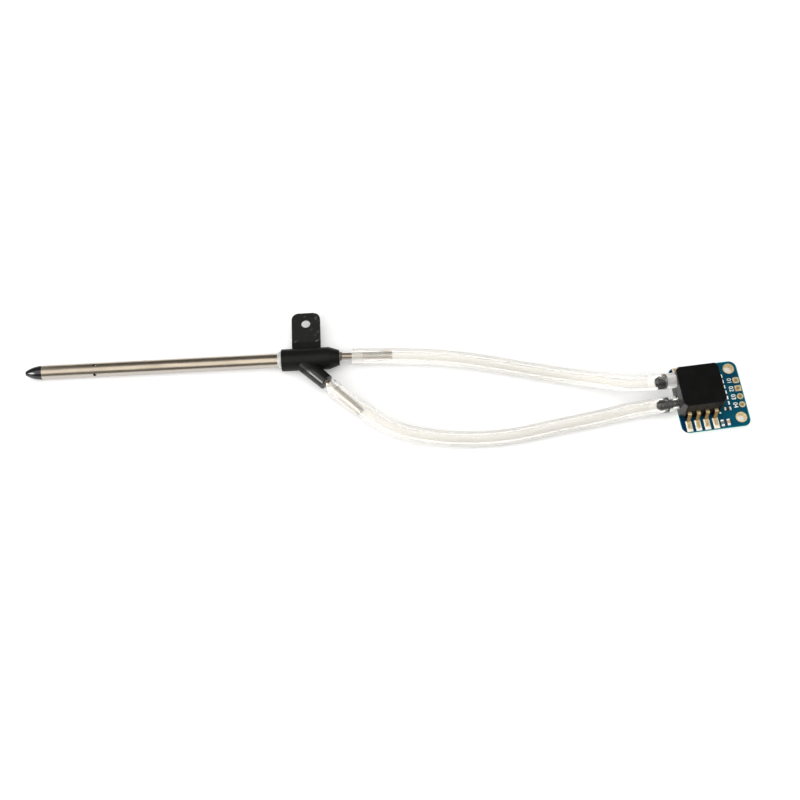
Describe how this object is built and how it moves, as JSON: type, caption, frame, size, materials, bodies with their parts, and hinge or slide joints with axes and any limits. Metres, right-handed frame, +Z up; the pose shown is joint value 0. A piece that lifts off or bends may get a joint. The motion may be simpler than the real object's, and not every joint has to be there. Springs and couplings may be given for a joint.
{
  "type": "pitot tube",
  "caption": "Straight pitot-static probe with an angled static branch and mounting flag, joined by two soft hoses to a small board with a ported differential pressure sensor.",
  "frame": {"origin": "middle of the probe and board's bounding box, on the surface that they lie on", "axes": "+X along the probe from its nose towards the sensor board, +Y towards the mounting flag, +Z up from the board's top face"},
  "size_m": [0.2028, 0.0438, 0.01],
  "materials": {
    "black_nose": "glossy black",
    "polished_tube": "polished",
    "inner_tube": "satin",
    "black_moulding": "satin black",
    "white_sealant": "satin off-white",
    "yellow_sealant": "translucent yellow",
    "silicone": "translucent, milky",
    "blue_board": "blue lacquer over laminate",
    "gold_plating": "gold plated",
    "black_package": "matte black",
    "tinned_lead": "tinned",
    "solder": "bright",
    "black_ceramic": "satin",
    "pale_ceramic": "satin",
    "brown_ceramic": "satin",
    "wafer_glass": "clear",
    "grey_silicon": "mirror grey",
    "clear_gel": "clear gel"
  },
  "bodies": {
    "root": {"nose_cone": "black_nose", "static_tube": "polished_tube", "total_pressure_tube": "inner_tube", "manifold": "black_moulding", "static_nipple": "inner_tube", "front_sealant_bead": "white_sealant", "rear_sealant_bead": "yellow_sealant", "branch_sealant_bead": "yellow_sealant", "total_pressure_hose": "silicone", "static_pressure_hose": "silicone", "circuit_board": "blue_board", "mounting_ring_1": "gold_plating", "mounting_ring_2": "gold_plating", "header_pad_1": "gold_plating", "header_pad_2": "gold_plating", "header_pad_3": "gold_plating", "header_pad_4": "gold_plating", "sensor_housing": "black_package", "sensor_cap": "black_package", "glass_wafer": "wafer_glass", "sensing_die": "grey_silicon", "protective_gel": "clear_gel", "lead_1": "tinned_lead", "lead_2": "tinned_lead", "lead_3": "tinned_lead", "lead_4": "tinned_lead", "lead_5": "tinned_lead", "lead_6": "tinned_lead", "lead_7": "tinned_lead", "lead_8": "tinned_lead", "solder_joint_1": "solder", "solder_joint_2": "solder", "solder_joint_3": "solder", "solder_joint_4": "solder", "solder_joint_5": "solder", "solder_joint_6": "solder", "solder_joint_7": "solder", "solder_joint_8": "solder", "resistor_body": "black_ceramic", "resistor_terminals": "solder", "pale_capacitor_body": "pale_ceramic", "pale_capacitor_terminals": "solder", "brown_capacitor_body": "brown_ceramic", "brown_capacitor_terminals": "solder"}
  },
  "joints": []
}
